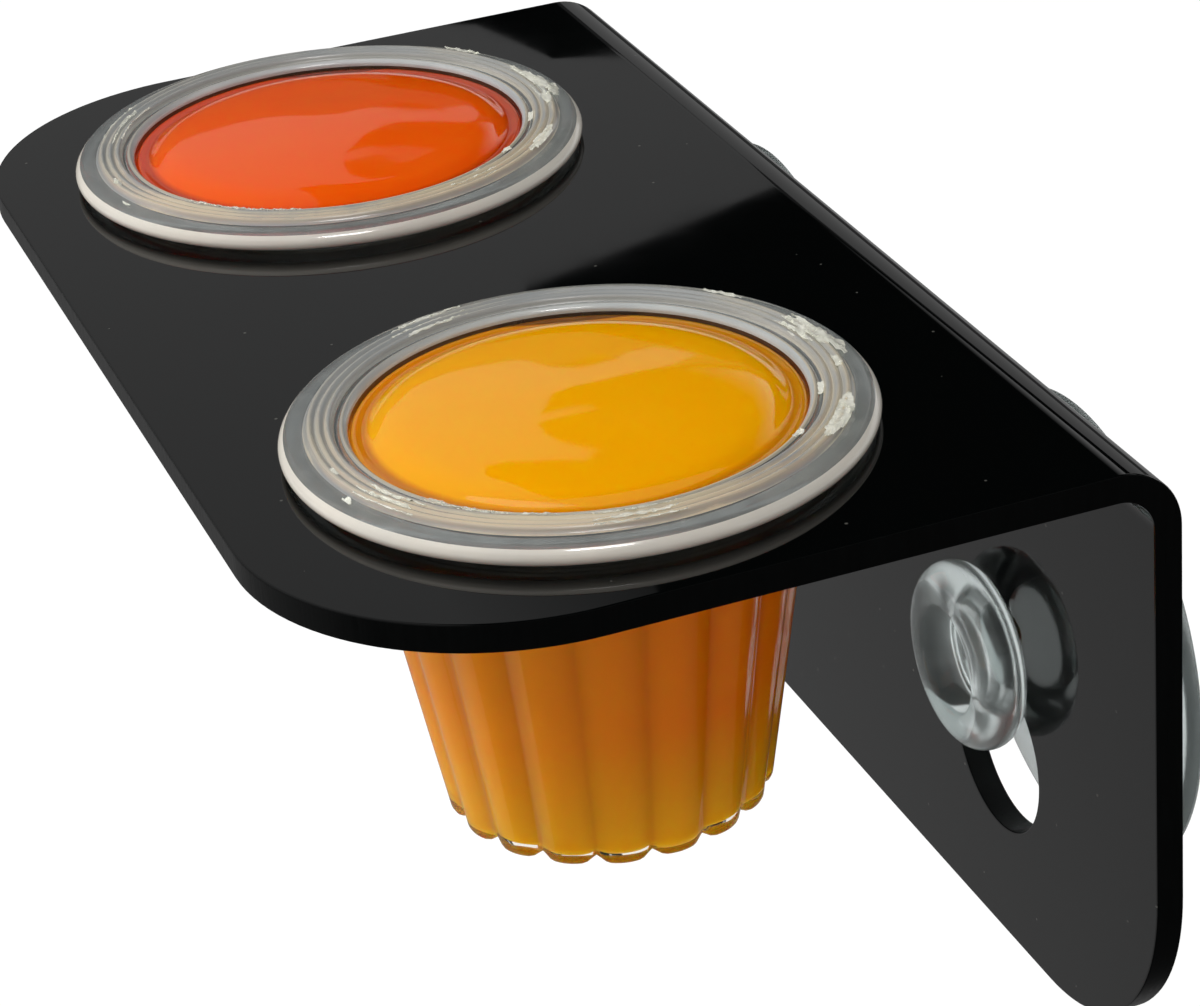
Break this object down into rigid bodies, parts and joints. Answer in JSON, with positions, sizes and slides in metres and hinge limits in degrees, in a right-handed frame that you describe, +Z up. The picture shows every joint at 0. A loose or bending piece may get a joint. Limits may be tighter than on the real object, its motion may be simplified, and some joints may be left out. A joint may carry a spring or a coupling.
{
  "type": "reptile fruit cup holder",
  "caption": "Bent black acrylic shelf that hangs on clear suction cups by keyholes and carries fluted fruit jelly cups in round holes, for feeding reptiles at a terrarium's glass.",
  "frame": {"origin": "on the glass, halfway between the two suction cups, at the height of their axes", "axes": "+X to the right along the bend seen from the front, +Y back towards the glass, +Z up"},
  "size_m": [0.1, 0.0615, 0.0514],
  "materials": {
    "black_acrylic": "polished black acrylic sheet",
    "clear_pvc": "clear soft PVC, moulded",
    "clear_cup": "clear polypropylene, thermoformed",
    "red_jelly": "wet red fruit jelly",
    "orange_jelly": "wet orange fruit jelly",
    "lid_film": "torn lid film with dried adhesive"
  },
  "bodies": {
    "suction_cups": {"suction_cup_left": "clear_pvc", "suction_cup_right": "clear_pvc"},
    "bracket": {"bracket": "black_acrylic"},
    "cup_left": {"fruit_cup_left": "clear_cup", "jelly_left": "red_jelly", "lid_film_left": "lid_film"},
    "cup_right": {"fruit_cup_right": "clear_cup", "jelly_right": "orange_jelly", "lid_film_right": "lid_film"}
  },
  "joints": [
    {"name": "bracket_lift", "type": "slide", "parent": "suction_cups", "child": "bracket", "axis": [0, 0, 1], "range_m": [0, 0.008]},
    {"name": "cup_left_lift", "type": "slide", "parent": "bracket", "child": "cup_left", "axis": [0, 0, 1], "range_m": [0, 0.03]},
    {"name": "cup_right_lift", "type": "slide", "parent": "bracket", "child": "cup_right", "axis": [0, 0, 1], "range_m": [0, 0.03]}
  ]
}
